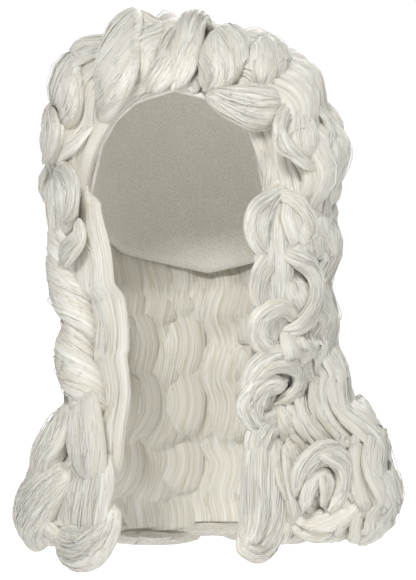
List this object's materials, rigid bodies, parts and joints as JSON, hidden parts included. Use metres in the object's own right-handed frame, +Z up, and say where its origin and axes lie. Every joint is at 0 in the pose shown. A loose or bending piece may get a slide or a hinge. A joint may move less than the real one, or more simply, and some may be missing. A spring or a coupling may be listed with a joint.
{
  "type": "judge wig",
  "caption": "White full-bottomed judge's wig: waved hair parted off-centre on a net cap, curls along the forehead, ringlets by the cheeks and lengths that flare at the shoulders.",
  "frame": {"origin": "middle of the wearer's head at the height of the ear tops, where the cap sits", "axes": "+Z up, -Y the way the wearer faces, +X the wearer's left"},
  "size_m": [0.2814, 0.2444, 0.4],
  "materials": {
    "hair": "soft sheen of synthetic fibre",
    "net": "matt net"
  },
  "bodies": {
    "root": {"cap": "net", "top_waves_left": "hair", "top_waves_right": "hair", "fringe_roll_right_1": "hair", "fringe_roll_right_2": "hair", "fringe_roll_right_3": "hair", "fringe_roll_right_4": "hair", "temple_curl_right_1": "hair", "temple_curl_right_2": "hair", "fringe_roll_left_1": "hair", "fringe_roll_left_2": "hair", "fringe_roll_left_3": "hair", "temple_curl_left": "hair", "ringlet_left": "hair", "ringlet_right": "hair", "side_fall_left_1": "hair", "side_fall_left_2": "hair", "side_fall_left_3": "hair", "back_fall_1": "hair", "back_fall_2": "hair", "back_fall_3": "hair", "back_fall_4": "hair", "back_fall_5": "hair", "side_fall_right_3": "hair", "side_fall_right_2": "hair", "side_fall_right_1": "hair", "end_curl_left_1": "hair", "end_curl_left_2": "hair", "end_curl_right_1": "hair", "end_curl_right_2": "hair"}
  },
  "joints": []
}
